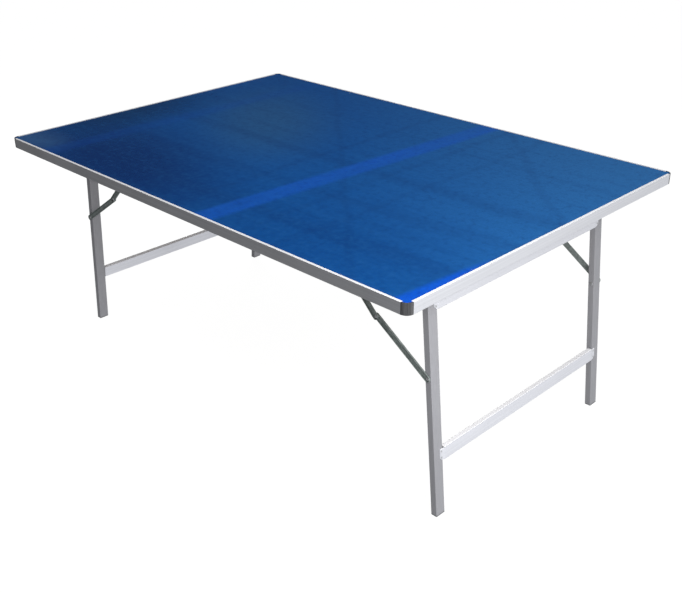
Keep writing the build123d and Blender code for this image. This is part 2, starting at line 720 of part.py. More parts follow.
for side, side_name in SIDES:
    save(make_end_rail(side), f"{side_name}_rail")
    save(make_hinge_bearer(side), f"{side_name}_hinge_bearer")
    save(make_crossbar(side, UPPER_BAR_TOP_Z), f"{side_name}_upper_crossbar")
    save(make_crossbar(side, STRETCHER_TOP_Z), f"{side_name}_stretcher")
    save(make_tab_rivets(side), f"{side_name}_tab_rivets")
    save(make_top_plugs(side), f"{side_name}_top_plugs")
    leg_pivots = [(side * LEG_PIVOT_X, LEG_PIVOT_Z, row) for row, _ in ROWS]
    save(make_pins(leg_pivots, leg_steps), f"{side_name}_stay_pivots")
    for row, row_name in ROWS:
        corner = f"{side_name}_{row_name}"
        leg_pivot = (side * LEG_PIVOT_X, LEG_PIVOT_Z)
        knuckle = (side * KNUCKLE_X, KNUCKLE_Z)
        bracket_pivot = (side * BRACKET_X, HINGE_Z)
        knuckle_place = [(*knuckle, row)]
        save(make_corner_cap(side, row), f"{corner}_corner_cap")
        save(make_hinge_lugs(side, row), f"{corner}_hinge_lugs")
        save(make_stay_bracket(side, row), f"{corner}_stay_bracket")
        save(make_leg(side, row), f"{corner}_leg")
        save(make_foot_plug(side, row), f"{corner}_foot_plug")
        save(make_stay_arm(leg_pivot, knuckle, row, LOWER_WEB_IN), f"{corner}_lower_stay")
        save(make_pins(knuckle_place, lower_knuckle_steps), f"{corner}_knuckle_tail")
        save(make_stay_arm(bracket_pivot, knuckle, row, UPPER_WEB_IN), f"{corner}_upper_stay")
        save(make_pins(knuckle_place, upper_knuckle_steps), f"{corner}_knuckle_head")
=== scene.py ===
import json
import math

import bpy
from mathutils import Matrix, Vector

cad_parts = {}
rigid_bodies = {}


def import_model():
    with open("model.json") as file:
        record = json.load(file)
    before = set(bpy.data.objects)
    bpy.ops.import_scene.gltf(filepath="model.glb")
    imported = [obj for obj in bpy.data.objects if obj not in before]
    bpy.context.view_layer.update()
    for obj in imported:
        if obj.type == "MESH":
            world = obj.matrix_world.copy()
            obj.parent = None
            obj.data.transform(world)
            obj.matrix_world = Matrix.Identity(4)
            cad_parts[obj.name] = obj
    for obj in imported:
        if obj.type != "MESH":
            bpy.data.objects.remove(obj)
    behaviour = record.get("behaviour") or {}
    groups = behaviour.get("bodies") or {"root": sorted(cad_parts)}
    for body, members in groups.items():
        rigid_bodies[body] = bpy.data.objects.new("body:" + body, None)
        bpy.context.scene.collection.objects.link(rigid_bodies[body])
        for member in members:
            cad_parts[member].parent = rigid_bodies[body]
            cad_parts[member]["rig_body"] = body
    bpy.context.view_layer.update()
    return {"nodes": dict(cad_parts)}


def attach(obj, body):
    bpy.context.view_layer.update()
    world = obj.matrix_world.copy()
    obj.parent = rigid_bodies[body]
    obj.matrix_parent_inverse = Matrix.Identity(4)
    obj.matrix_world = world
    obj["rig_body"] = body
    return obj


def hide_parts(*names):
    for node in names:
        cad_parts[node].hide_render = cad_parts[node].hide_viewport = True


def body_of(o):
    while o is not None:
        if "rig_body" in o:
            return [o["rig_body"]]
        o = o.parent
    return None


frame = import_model()
nodes = frame["nodes"]

# ---------------------------------------------------------------------------------------------
# Camera.  It stands off the front right corner at head height and looks down along the diagonal
# of the table, with a hair of tilt.
camera_turn = math.radians(45.106)
camera_rise = math.radians(26.843)
camera_tilt = math.radians(-0.533)
camera_place = Vector((2.1896, -2.1056, 1.7758))
to_camera = Vector((
    math.sin(camera_turn) * math.cos(camera_rise),
    -math.cos(camera_turn) * math.cos(camera_rise),
    math.sin(camera_rise),
))
level_right = Vector((math.cos(camera_turn), math.sin(camera_turn), 0))
level_up = to_camera.cross(level_right)
camera_right = level_right * math.cos(camera_tilt) + level_up * math.sin(camera_tilt)
camera_up = level_up * math.cos(camera_tilt) - level_right * math.sin(camera_tilt)
camera_matrix = Matrix((camera_right, camera_up, to_camera)).transposed().to_4x4()
camera_matrix.translation = camera_place
camera_data = bpy.data.cameras.new("camera")
camera_data.sensor_fit = "HORIZONTAL"
camera_data.sensor_width = 36.0
camera_data.lens = 51.35
camera = bpy.data.objects.new("camera", camera_data)
camera.matrix_world = camera_matrix
bpy.context.scene.collection.objects.link(camera)
bpy.context.scene.camera = camera

# ---------------------------------------------------------------------------------------------
# Floor.  A plain white studio floor, lit from within like a light table, so the table's shadow
# on it stays faint.
floor_reach = 60.0
floor_level = -0.0005
floor_tone = 0.08
floor_glow = 0.965
floor_mesh = bpy.data.meshes.new("floor")
floor_mesh.from_pydata(
    [
        (-floor_reach, -floor_reach, floor_level),
        (floor_reach, -floor_reach, floor_level),
        (floor_reach, floor_reach, floor_level),
        (-floor_reach, floor_reach, floor_level),
    ],
    [],
    [(0, 1, 2, 3)],
)
floor = bpy.data.objects.new("floor", floor_mesh)
bpy.context.scene.collection.objects.link(floor)
floor_white = bpy.data.materials.new("floor_white")
floor_white.use_nodes = True
floor_shader = floor_white.node_tree.nodes["Principled BSDF"]
floor_shader.inputs["Base Color"].default_value = (floor_tone, floor_tone, floor_tone, 1)
floor_shader.inputs["Roughness"].default_value = 1.0
floor_shader.inputs["Specular IOR Level"].default_value = 0.0
floor_shader.inputs["Emission Color"].default_value = (1.0, 1.0, 1.0, 1)
floor_shader.inputs["Emission Strength"].default_value = floor_glow
floor_mesh.materials.append(floor_white)
floor.visible_glossy = False
floor.visible_diffuse = False

# ---------------------------------------------------------------------------------------------
# Studio light.  The room is bright on the right and dim on the left, and its ceiling is dimmed in
# reflections.  One wide panel hangs overhead, a small one stands off the front right corner and
# one behind the left end fills the far sides.
room = bpy.data.worlds.new("room")
bpy.context.scene.world = room
room.use_nodes = True
room_nodes = room.node_tree.nodes
room_links = room.node_tree.links
room_dimmest, room_brightest = 0.10, 0.80
room_turnover = 0.80
ceiling_dimming = 0.60
ceiling_start, ceiling_full = 0.0, 0.20


def room_node(kind, sources=(), **settings):
    # sources are (input, output) pairs, joined as the node is made.
    node = room_nodes.new(kind)
    for key, value in settings.items():
        setattr(node, key, value)
    for socket, output in sources:
        room_links.new(output, node.inputs[socket])
    return node


room_direction = room_node("ShaderNodeTexCoord").outputs["Generated"]
room_ray = room_node("ShaderNodeLightPath")
room_side = room_node("ShaderNodeVectorMath", [(0, room_direction)], operation="DOT_PRODUCT")
room_side.inputs[1].default_value = (1.0, 0.0, 0.0)
room_fall = room_node(
    "ShaderNodeMapRange", [("Value", room_side.outputs["Value"])], interpolation_type="SMOOTHSTEP"
)
room_fall.inputs["From Min"].default_value = -room_turnover
room_fall.inputs["From Max"].default_value = room_turnover
room_fall.inputs["To Min"].default_value = room_dimmest
room_fall.inputs["To Max"].default_value = room_brightest
room_axes = room_node("ShaderNodeSeparateXYZ", [("Vector", room_direction)])
room_ceiling = room_node("ShaderNodeMapRange", [("Value", room_axes.outputs["Z"])])
room_ceiling.inputs["From Min"].default_value = ceiling_start
room_ceiling.inputs["From Max"].default_value = ceiling_full
room_ceiling.inputs["To Min"].default_value = 0.0
room_ceiling.inputs["To Max"].default_value = ceiling_dimming
room_dimmed = room_node(
    "ShaderNodeMath",
    [(0, room_ceiling.outputs["Result"]), (1, room_ray.outputs["Is Glossy Ray"])],
    operation="MULTIPLY",
)
room_kept = room_node("ShaderNodeMath", [(1, room_dimmed.outputs["Value"])], operation="SUBTRACT")
room_kept.inputs[0].default_value = 1.0
room_power = room_node(
    "ShaderNodeMath",
    [(0, room_fall.outputs["Result"]), (1, room_kept.outputs["Value"])],
    operation="MULTIPLY",
)
room_walls = room_nodes["Background"]
room_walls.inputs["Color"].default_value = (0.97, 0.98, 1.0, 1)
room_links.new(room_power.outputs["Value"], room_walls.inputs["Strength"])
room_seen = room_node("ShaderNodeBackground")
room_seen.inputs["Color"].default_value = (1.0, 1.0, 1.0, 1)
room_pick = room_node(
    "ShaderNodeMixShader",
    [
        (0, room_ray.outputs["Is Camera Ray"]),
        (1, room_walls.outputs[0]),
        (2, room_seen.outputs[0]),
    ],
)
room_links.new(room_pick.outputs[0], room_nodes["World Output"].inputs["Surface"])


def hang_panel(name, place, aim, width, height, watts):
    panel_light = bpy.data.lights.new(name, "AREA")
    panel_light.shape = "RECTANGLE"
    panel_light.size = width
    panel_light.size_y = height
    panel_light.energy = watts
    panel = bpy.data.objects.new(name, panel_light)
    panel.location = place
    panel.rotation_euler = (Vector(aim) - Vector(place)).to_track_quat("-Z", "Y").to_euler()
    panel.visible_camera = False
    panel.visible_glossy = False
    bpy.context.scene.collection.objects.link(panel)


hang_panel("rear_fill_panel", (-2.7, 1.9, 0.66), (0.0, 0.0, 0.45), 1.6, 0.9, 60)
hang_panel("overhead_panel", (0.6, -0.6, 3.4), (0.2, 0.0, 0.76), 3.0, 3.0, 54)
hang_panel("right_panel", (2.0, -0.95, 1.45), (0.9, -0.4, 0.55), 0.7, 0.7, 31)
bpy.context.scene.view_settings.view_transform = "Standard"


# ---------------------------------------------------------------------------------------------
# Playing board.  Fibreboard faced with a glossy blue laminate, dropped into the rails.  The
# facing has a brighter blue stripe across it, a bright sliver at the front right corner, long
# faint rub marks and a fine mottle, and the back is left bare.
def start_finish(name, colour, roughness, metallic=0.0):
    finish = bpy.data.materials.new(name)
    finish.use_nodes = True
    shader = finish.node_tree.nodes["Principled BSDF"]
    shader.inputs["Base Color"].default_value = (*colour, 1)
    shader.inputs["Roughness"].default_value = roughness
    shader.inputs["Metallic"].default_value = metallic
    place = finish.node_tree.nodes.new("ShaderNodeTexCoord").outputs["Object"]
    return finish, shader, place


def add_node(finish, kind, **settings):
    node = finish.node_tree.nodes.new(kind)
    for key, value in settings.items():
        setattr(node, key, value)
    return node


def join(finish, output, socket):
    finish.node_tree.links.new(output, socket)


def stretch(finish, place, scale, turn=(0.0, 0.0, 0.0)):
    mapping = add_node(finish, "ShaderNodeMapping")
    mapping.inputs["Scale"].default_value = scale
    mapping.inputs["Rotation"].default_value = turn
    join(finish, place, mapping.inputs["Vector"])
    return mapping.outputs["Vector"]


def grain(finish, place, scale, detail=2.0, roughness=0.5):
    noise = add_node(finish, "ShaderNodeTexNoise")
    noise.inputs["Scale"].default_value = scale
    noise.inputs["Detail"].default_value = detail
    noise.inputs["Roughness"].default_value = roughness
    join(finish, place, noise.inputs["Vector"])
    return noise.outputs["Fac"]


def remap(finish, value, low, high, to_low, to_high, smooth=False):
    ramp = add_node(finish, "ShaderNodeMapRange")
    if smooth:
        ramp.interpolation_type = "SMOOTHSTEP"
    ramp.inputs["From Min"].default_value = low
    ramp.inputs["From Max"].default_value = high
    ramp.inputs["To Min"].default_value = to_low
    ramp.inputs["To Max"].default_value = to_high
    join(finish, value, ramp.inputs["Value"])
    return ramp.outputs["Result"]


def arithmetic(finish, operation, first, second):
    step = add_node(finish, "ShaderNodeMath", operation=operation)
    for socket, value in zip(step.inputs, (first, second)):
        if isinstance(value, (int, float)):
            socket.default_value = value
        else:
            join(finish, value, socket)
    return step.outputs["Value"]


def tint(finish, share, first, second):
    mix = add_node(finish, "ShaderNodeMix", data_type="RGBA")
    factor, colour_a, colour_b = mix.inputs[0], mix.inputs[6], mix.inputs[7]
    if isinstance(share, float):
        factor.default_value = share
    else:
        join(finish, share, factor)
    for socket, value in ((colour_a, first), (colour_b, second)):
        if isinstance(value, tuple):
            socket.default_value = (*value, 1)
        else:
            join(finish, value, socket)
    return mix.outputs[2]


def bump(finish, shader, height, strength, distance):
    relief = add_node(finish, "ShaderNodeBump")
    relief.inputs["Strength"].default_value = strength
    relief.inputs["Distance"].default_value = distance
    join(finish, height, relief.inputs["Height"])
    join(finish, relief.outputs["Normal"], shader.inputs["Normal"])


board_finish, board_shader, board_place = start_finish("blue_laminate", (0.01, 0.07, 0.26), 0.14)
board_axes = add_node(board_finish, "ShaderNodeSeparateXYZ")
join(board_finish, board_place, board_axes.inputs["Vector"])
along, across = board_axes.outputs["X"], board_axes.outputs["Y"]


def soft_patch(middle, reach, turn):
    # 1 in the middle of an oval and 0 past its rim; reach is the two half widths.
    moved = add_node(board_finish, "ShaderNodeVectorMath", operation="SUBTRACT")
    join(board_finish, board_place, moved.inputs[0])
    moved.inputs[1].default_value = (*middle, 0.0)
    turned = add_node(board_finish, "ShaderNodeVectorRotate", rotation_type="Z_AXIS")
    turned.inputs["Angle"].default_value = -turn
    join(board_finish, moved.outputs["Vector"], turned.inputs["Vector"])
    flat = add_node(board_finish, "ShaderNodeVectorMath", operation="MULTIPLY")
    flat.inputs[1].default_value = (1 / reach[0], 1 / reach[1], 0.0)
    join(board_finish, turned.outputs["Vector"], flat.inputs[0])
    length = add_node(board_finish, "ShaderNodeVectorMath", operation="LENGTH")
    join(board_finish, flat.outputs["Vector"], length.inputs[0])
    return remap(board_finish, length.outputs["Value"], 0.1, 1.0, 1.0, 0.0, smooth=True)


def soft_line(run, rise, level, slope, half_width, blur):
    # 1 on the line rise = level + slope * run, falling to 0 over the blur either side.
    sloped = arithmetic(board_finish, "MULTIPLY", run, slope)
    offset = arithmetic(board_finish, "SUBTRACT", rise, sloped)
    offset = arithmetic(board_finish, "SUBTRACT", offset, level)
    offset = arithmetic(board_finish, "ABSOLUTE", offset, 0.0)
    return remap(board_finish, offset, half_width, half_width + blur, 1.0, 0.0, smooth=True)


def lay_over(under, colour, mask, share=1.0):
    # Tints the laminate with a colour, by share of the mask.
    if share != 1.0:
        mask = arithmetic(board_finish, "MULTIPLY", mask, share)
    return tint(board_finish, mask, under, colour)


laminate_mid = (0.003, 0.066, 0.262)
laminate_bright = (0.019, 0.124, 0.345)
laminate_navy = (0.001, 0.017, 0.105)
laminate_teal = (0.006, 0.058, 0.155)
laminate_vivid = (0.002, 0.068, 0.50)
warp = grain(board_finish, board_place, 3.0, 3.0)
warp = remap(board_finish, warp, 0.3, 0.7, -0.014, 0.014)
bent_along = arithmetic(board_finish, "ADD", along, warp)
bent_across = arithmetic(board_finish, "ADD", across, warp)

# Painted light: the blue grows lighter toward the back right corner.
rise_to_corner = arithmetic(board_finish, "ADD", along, across)
painted_light_ramp = remap(board_finish, rise_to_corner, -0.15, 1.5, 0.0, 1.0, smooth=True)
laminate = tint(board_finish, painted_light_ramp, laminate_mid, laminate_bright)

# The broad fields: a teal haze, painted shade in navy over the front, painted shade that darkens
# the left end and dims the front right, and a painted pool of light at the front left.
for middle, reach, turn, colour, share in (
    ((-0.42, 0.12), (0.62, 0.34), -40, (0.022, 0.088, 0.205), 0.70),
    ((-0.42, -0.52), (0.85, 0.46), -14, laminate_navy, 0.95),
    ((-0.94, -0.14), (0.34, 0.52), 0, (0.002, 0.022, 0.078), 0.85),
    ((0.62, -0.56), (0.75, 0.45), 0, (0.002, 0.044, 0.190), 0.60),
    ((-0.84, -0.56), (0.22, 0.13), 0, (0.034, 0.090, 0.215), 0.85),
):
    laminate = lay_over(laminate, colour, soft_patch(middle, reach, math.radians(turn)), share)

# Faint creases: run and rise are the two axes, then level, slope, half width, blur and share.
for run, rise, level, slope, half_width, blur, share in (
    (along, bent_across, -0.015, 0.030, 0.006, 0.040, 0.20),
    (along, bent_across, -0.470, 0.045, 0.012, 0.035, 0.20),
    (along, bent_across, -0.260, 0.070, 0.004, 0.050, 0.16),
    (across, bent_along, 0.000, 0.0, 0.003, 0.020, 0.14),
    (across, bent_along, 0.295, 0.0, 0.003, 0.020, 0.12),
    (across, bent_along, 0.440, 0.0, 0.003, 0.020, 0.12),
    (along, bent_across, 0.880, -0.95, 0.004, 0.025, 0.13),
    (along, bent_across, 0.080, -0.95, 0.004, 0.025, 0.13),
):
    crease = soft_line(run, rise, level, slope, half_width, blur)
    laminate = lay_over(laminate, laminate_navy, crease, share)

# Rub marks, long and fine, that run at a slant over the board.
rub_slant = math.radians(52)
streak_place = stretch(board_finish, board_place, (0.8, 26.0, 1.0), (0.0, 0.0, rub_slant))
streaks = grain(board_finish, streak_place, 1.0, 4.0, 0.6)
streak_light = remap(board_finish, streaks, 0.50, 0.78, 0.0, 0.14)
laminate = lay_over(laminate, laminate_bright, streak_light)
streak_dark = remap(board_finish, streaks, 0.30, 0.46, 0.14, 0.0)
laminate = lay_over(laminate, laminate_navy, streak_dark)

# The stripe across the middle, a weaker one near the left end, and the bright sliver.
ragged_place = stretch(board_finish, board_place, (14.0, 3.0, 1.0))
ragged = grain(board_finish, ragged_place, 1.0, 4.0, 0.65)
ragged_share = remap(board_finish, ragged, 0.30, 0.62, 0.55, 1.0)
for level, slope, half_width, blur, colour, share in (
    (0.180, 0.062, 0.022, 0.030, (0.006, 0.082, 0.47), 0.72),
    (-0.672, 0.02, 0.012, 0.045, (0.003, 0.060, 0.36), 0.24),
):
    stripe = soft_line(across, along, level, slope, half_width, blur)
    stripe = arithmetic(board_finish, "MULTIPLY", stripe, ragged_share)
    laminate = lay_over(laminate, colour, stripe, share)
sliver_slope = arithmetic(board_finish, "MULTIPLY", across, 0.085)
sliver_edge = arithmetic(board_finish, "SUBTRACT", along, sliver_slope)
sliver = remap(board_finish, sliver_edge, 0.900, 0.924, 0.0, 0.92, smooth=True)
sliver_end = remap(board_finish, across, -0.42, -0.24, 1.0, 0.0, smooth=True)
sliver = arithmetic(board_finish, "MULTIPLY", sliver, sliver_end)
laminate = lay_over(laminate, laminate_vivid, sliver)

# A fine mottle and a coarser cloud over the whole facing.
mottle = grain(board_finish, board_place, 150.0, 4.0, 0.75)
laminate = lay_over(laminate, laminate_teal, remap(board_finish, mottle, 0.35, 0.70, 0.0, 0.40))
cloud = grain(board_finish, board_place, 55.0, 3.0, 0.6)
laminate = lay_over(laminate, laminate_bright, remap(board_finish, cloud, 0.50, 0.75, 0.0, 0.15))
laminate = lay_over(laminate, laminate_navy, remap(board_finish, cloud, 0.28, 0.48, 0.22, 0.0))

# Below the facing the fibreboard is bare.
facing_bottom, facing_top = 0.7574, 0.7578
fibre = grain(board_finish, board_place, 240.0, 3.0, 0.7)
fibre_share = remap(board_finish, fibre, 0.3, 0.7, 0.0, 1.0)
bare_board = tint(board_finish, fibre_share, (0.20, 0.125, 0.070), (0.30, 0.20, 0.12))
is_facing = remap(board_finish, board_axes.outputs["Z"], facing_bottom, facing_top, 0.0, 1.0)
laminate = tint(board_finish, is_facing, bare_board, laminate)
join(board_finish, laminate, board_shader.inputs["Base Color"])
board_shader.inputs["Specular IOR Level"].default_value = 0.22
smears = grain(board_finish, streak_place, 0.5, 3.0)
smear_gloss = remap(board_finish, smears, 0.3, 0.7, 0.10, 0.20)
join(board_finish, smear_gloss, board_shader.inputs["Roughness"])
ripple = grain(board_finish, board_place, 55.0, 2.0)
bump(board_finish, board_shader, ripple, 0.05, 0.0004)
nodes["board"].data.materials[0] = board_finish


# ---------------------------------------------------------------------------------------------
# Edge rails.  Extruded aluminium, satin anodised.  Fine die lines run the length of each rail,
# with faint cloudy handling marks over them.
def drawn_metal(name, colour, roughness, metallic, run, wear=0.10, painted_top_light=0.0):
    # run is (1, 0, 0) and so on: the direction that the die lines follow.  The last argument is
    # how much less mirror-like the top face is made; when it is set, the top face is also painted
    # paler, painted light from above.
    along_run, across_run = 1.5, 420.0
    finish, shader, place = start_finish(name, colour, roughness, metallic)
    squeeze = tuple(along_run if part else across_run for part in run)
    lines = grain(finish, stretch(finish, place, squeeze), 1.0, 3.0, 0.6)
    clouds = grain(finish, place, 7.0, 4.0, 0.6)
    dark = tuple(channel * 0.86 for channel in colour)
    light = tuple(min(1.0, channel * 1.03) for channel in colour)
    lined = tint(finish, remap(finish, lines, 0.25, 0.75, 0.0, 1.0), dark, light)
    wear_and_painted_top_light = tint(finish, remap(finish, clouds, 0.45, 0.80, 0.0, wear * 2), lined, dark)
    # Painted light: faces that look up are painted paler and made less mirror-like, as if lit from
    # above.
    if painted_top_light:
        facing = add_node(finish, "ShaderNodeSeparateXYZ")
        surface = finish.node_tree.nodes["Texture Coordinate"].outputs["Normal"]
        join(finish, surface, facing.inputs["Vector"])
        top_face = remap(finish, facing.outputs["Z"], 0.45, 0.85, 0.0, 1.0)
        top_metallic = remap(finish, top_face, 0.0, 1.0, metallic, metallic - painted_top_light)
        join(finish, top_metallic, shader.inputs["Metallic"])
        painted_top_light_share = arithmetic(finish, "MULTIPLY", top_face, 0.8)
        wear_and_painted_top_light = tint(finish, painted_top_light_share, wear_and_painted_top_light, (0.96, 0.96, 0.98))
    join(finish, wear_and_painted_top_light, shader.inputs["Base Color"])
    gloss = remap(finish, clouds, 0.3, 0.7, roughness - 0.05, roughness + 0.07)
    join(finish, gloss, shader.inputs["Roughness"])
    bump(finish, shader, lines, 0.04, 0.0003)
    return finish


# Painted shade: the long rails' copy is more mirror-like (0.90 against 0.75), which darkens them.
rail_colour = (0.84, 0.85, 0.89)
rail_roughness = 0.38
# Both copies are also painted paler on their top faces, painted light from above.
long_rail_finish = drawn_metal(
    "rail_aluminium_long", rail_colour, rail_roughness, 0.90, (1, 0, 0), painted_top_light=0.6
)
end_rail_finish = drawn_metal(
    "rail_aluminium_end", rail_colour, rail_roughness, 0.75, (0, 1, 0), painted_top_light=0.5
)
for rail in ("front_rail", "rear_rail"):
    nodes[rail].data.materials[0] = long_rail_finish
for rail in ("right_rail", "left_rail"):
    nodes[rail].data.materials[0] = end_rail_finish

# ---------------------------------------------------------------------------------------------
# Corner caps.  Moulded dark grey plastic with upright grooves, tucked over the board's corners
# between the rails' ends.
cap_finish, cap_shader, cap_place = start_finish("cap_plastic", (0.075, 0.075, 0.078), 0.42)
cap_upright = stretch(cap_finish, cap_place, (260.0, 260.0, 6.0))
cap_streaks = grain(cap_finish, cap_upright, 1.0, 3.0)
cap_colour = tint(
    cap_finish,
    remap(cap_finish, cap_streaks, 0.35, 0.7, 0.0, 1.0),
    (0.025, 0.025, 0.027),
    (0.078, 0.078, 0.082),
)
join(cap_finish, cap_colour, cap_shader.inputs["Base Color"])
cap_pores = grain(cap_finish, cap_place, 900.0, 2.0)
bump(cap_finish, cap_shader, cap_pores, 0.12, 0.0002)
corners = [f"{side}_{row}" for side in ("right", "left") for row in ("front", "rear")]
for corner in corners:
    nodes[f"{corner}_corner_cap"].data.materials[0] = cap_finish

# ---------------------------------------------------------------------------------------------
# Legs.  Rectangular aluminium tube left with its mill finish, duller than the rails, with the
# tube's draw lines up and down it.
leg_finish = drawn_metal("leg_aluminium", (0.315, 0.315, 0.335), 0.45, 0.08, (0, 0, 1), wear=0.22)
for corner in corners:
    nodes[f"{corner}_leg"].data.materials[0] = leg_finish

# ---------------------------------------------------------------------------------------------
# Crossbars and stretchers.  Bright satin aluminium tube, whose end tabs lap the outer faces of
# the legs and are riveted there.
# Their top faces are painted paler, painted light from above.
bar_finish = drawn_metal(
    "crossbar_aluminium", (0.84, 0.85, 0.90), 0.40, 0.55, (0, 1, 0), wear=0.16, painted_top_light=0.5
)
for side in ("right", "left"):
    nodes[f"{side}_upper_crossbar"].data.materials[0] = bar_finish
    nodes[f"{side}_stretcher"].data.materials[0] = bar_finish

# ---------------------------------------------------------------------------------------------
# Stays.  Pressed steel trays with rounded ends, zinc plated, which gives them a mottled grey
# green, with painted shade in the corners.
stay_finish, stay_shader, stay_place = start_finish("stay_zinc", (0.3, 0.34, 0.33), 0.42, 0.5)
stay_mottle = grain(stay_finish, stay_place, 110.0, 4.0, 0.7)
stay_colour = tint(
    stay_finish,
    remap(stay_finish, stay_mottle, 0.3, 0.7, 0.0, 1.0),
    (0.20, 0.235, 0.225),
    (0.42, 0.47, 0.455),
)
# Painted shade: ambient occlusion darkens the trays in their corners and along their folds.
stay_corners = add_node(stay_finish, "ShaderNodeAmbientOcclusion", samples=8, only_local=True)
stay_painted_shade_reach = 0.006
stay_corners.inputs["Distance"].default_value = stay_painted_shade_reach
stay_painted_shade = remap(stay_finish, stay_corners.outputs["AO"], 0.35, 0.95, 0.75, 0.0)
stay_colour = tint(stay_finish, stay_painted_shade, stay_colour, (0.06, 0.075, 0.07))
join(stay_finish, stay_colour, stay_shader.inputs["Base Color"])
stay_gloss = remap(stay_finish, stay_mottle, 0.3, 0.7, 0.34, 0.52)
join(stay_finish, stay_gloss, stay_shader.inputs["Roughness"])
for corner in corners:
    nodes[f"{corner}_lower_stay"].data.materials[0] = stay_finish
    nodes[f"{corner}_upper_stay"].data.materials[0] = stay_finish

# ---------------------------------------------------------------------------------------------
# Rivets and pins.  Plain zinc plated steel, a little brighter than the stays.  The blind rivets
# that hold the crossbars' tabs have a hole where the mandrel snapped off, and the pins' heads are
# upset by a punch, which leaves a dimple.
fastener_finish, fastener_shader, fastener_place = start_finish(
    "fastener_zinc", (0.55, 0.56, 0.57), 0.35, 0.85
)
fastener_mottle = grain(fastener_finish, fastener_place, 300.0, 3.0)
fastener_colour = tint(
    fastener_finish,
    remap(fastener_finish, fastener_mottle, 0.3, 0.7, 0.0, 1.0),
    (0.58, 0.59, 0.60),
    (0.86, 0.87, 0.88),
)
join(fastener_finish, fastener_colour, fastener_shader.inputs["Base Color"])
millimetre = 0.001
sharp_edge = math.radians(32)
pin_radius = 3.0
head_radius = 5.5
head_height = 1.6


def separate_solids(node):
    # The points of each loose solid that a CAD node is made of.
    mesh = nodes[node].data
    numbers = {}
    number_of = []
    for vertex in mesh.vertices:
        place = tuple(round(value, 6) for value in vertex.co)
        number_of.append(numbers.setdefault(place, len(numbers)))
    parent = list(range(len(numbers)))

    def eldest(number):
        while parent[number] != number:
            parent[number] = parent[parent[number]]
            number = parent[number]
        return number

    for edge in mesh.edges:
        first, second = (eldest(number_of[vertex]) for vertex in edge.vertices)
        parent[first] = second
    solids = {}
    for place, number in numbers.items():
        solids.setdefault(eldest(number), []).append(Vector(place))
    return list(solids.values())


def seat_matrix(points, inward):
    # A frame at the middle of a solid's outer end, with Z along inward.
    turn = Vector((0, 0, 1)).rotation_difference(inward).to_matrix()
    local = [turn.transposed() @ point for point in points]
    low = Vector(min(point[axis] for point in local) for axis in range(3))
    high = Vector(max(point[axis] for point in local) for axis in range(3))
    middle = (low + high) / 2
    matrix = turn.to_4x4()
    matrix.translation = turn @ Vector((middle.x, middle.y, low.z))
    return matrix


def turned(profile, flats=0, hollow=False, segments=48):
    # Points and faces of a lathed piece.  profile is (radius, height) in millimetres from the
    # outer end inward.  With flats, radii beyond the flats are cut back to a polygon.
    points, faces, rings = [], [], []
    for radius, height in profile:
        ring = []
        count = segments if radius else 1
        for step in range(count):
            angle = 2 * math.pi * step / segments
            reach = radius
            if flats:
                across = max(profile)[0] * math.cos(math.pi / flats)
                sector = (angle % (2 * math.pi / flats)) - math.pi / flats
                reach = min(radius, across / math.cos(sector))
            ring.append(len(points))
            point = Vector((reach * math.cos(angle), reach * math.sin(angle), height))
            points.append(point * millimetre)
        rings.append(ring)
    pairs = list(zip(rings, rings[1:]))
    if hollow:
        pairs.append((rings[-1], rings[0]))
    for lower, upper in pairs:
        for step in range(segments):
            after = (step + 1) % segments
            corners_here = (
                lower[step % len(lower)],
                lower[after % len(lower)],
                upper[after % len(upper)],
                upper[step % len(upper)],
            )
            face = list(dict.fromkeys(corners_here))
            if len(face) > 2:
                faces.append(face)
    return points, faces


def fasten(name, node, shape, inward):
    # Puts the shape at every solid of the node; inward gives the direction at a solid's middle.
    shape_points, shape_faces = shape
    points, faces = [], []
    for solid in separate_solids(node):
        middle = sum(solid, Vector()) / len(solid)
        matrix = seat_matrix(solid, inward(middle))
        base = len(points)
        points += [matrix @ point for point in shape_points]
        faces += [[base + number for number in face] for face in shape_faces]
    mesh = bpy.data.meshes.new(name)
    mesh.from_pydata(points, [], faces)
    mesh.polygons.foreach_set("use_smooth", [True] * len(mesh.polygons))
    mesh.set_sharp_from_angle(angle=sharp_edge)
    mesh.materials.append(fastener_finish)
    piece = bpy.data.objects.new(name, mesh)
    bpy.context.scene.collection.objects.link(piece)
    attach(piece, body_of(nodes[node])[0])
    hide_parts(node)


def toward_middle(point):
    return Vector((0, -math.copysign(1, point.y), 0))


upset_head = [
    (0, 0.45), (1.1, 0.45), (1.6, 0.10), (2.2, 0), (3.9, 0.10), (4.9, 0.45),
    (head_radius, 1.0), (head_radius, head_height),
]
washer_radius = 5.0

# The knuckle rivet's two halves: the head on the upper arm and the tail on the lower arm.
knuckle_head_length = 3.1
knuckle_head = turned(upset_head + [
    (pin_radius, head_height), (pin_radius, knuckle_head_length), (0, knuckle_head_length),
])
tail_height, knuckle_tail_length = 3.5, 5.0
knuckle_tail = turned([
    (0, 0.3), (4.2, 0.3), (4.5, 0), (4.8, 0.1), (washer_radius, 0.4),
    (washer_radius, tail_height), (pin_radius, tail_height),
    (pin_radius, knuckle_tail_length), (0, knuckle_tail_length),
])
for corner in corners:
    fasten(f"{corner}_knuckle_rivet", f"{corner}_knuckle_head", knuckle_head, toward_middle)
    fasten(f"{corner}_knuckle_stud", f"{corner}_knuckle_tail", knuckle_tail, toward_middle)

# The stays' upper pins, upset on both sides of the bracket.
bracket_grip, bracket_pin_length = 5.6, 7.6
bracket_pin = turned(upset_head + [
    (pin_radius, head_height), (pin_radius, bracket_grip),
    (head_radius, bracket_grip), (head_radius, 6.9),
    (5.0, bracket_pin_length), (0, bracket_pin_length),
])
fasten("bracket_pins", "stay_bracket_pins", bracket_pin, toward_middle)

